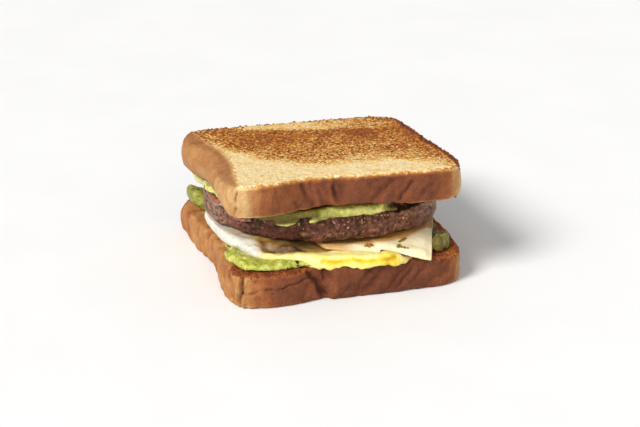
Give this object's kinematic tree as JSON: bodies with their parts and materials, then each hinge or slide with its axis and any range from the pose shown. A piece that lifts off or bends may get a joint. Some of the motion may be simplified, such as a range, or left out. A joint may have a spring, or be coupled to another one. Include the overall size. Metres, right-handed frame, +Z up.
{
  "type": "sausage egg cheese sandwich",
  "caption": "Toasted white bread sandwich with a round sausage patty, a fried egg, a cheese slice and mashed avocado, standing on its bottom slice.",
  "frame": {"origin": "under the middle of the sandwich's box, on the surface that it stands on", "axes": "+Z up through the layers, +X along the slices' width, -Y towards the domed crust of the loaf, which is the front"},
  "size_m": [0.12, 0.1226, 0.0624],
  "materials": {
    "toast": "matte",
    "avocado": "satin",
    "egg": "satin",
    "cheese": "satin",
    "sausage": "matte"
  },
  "bodies": {
    "root": {"bread_bottom": "toast", "avocado_lower": "avocado", "fried_egg": "egg", "cheese_slice": "cheese", "sausage_patty": "sausage", "avocado_upper": "avocado", "bread_top": "toast"}
  },
  "joints": []
}
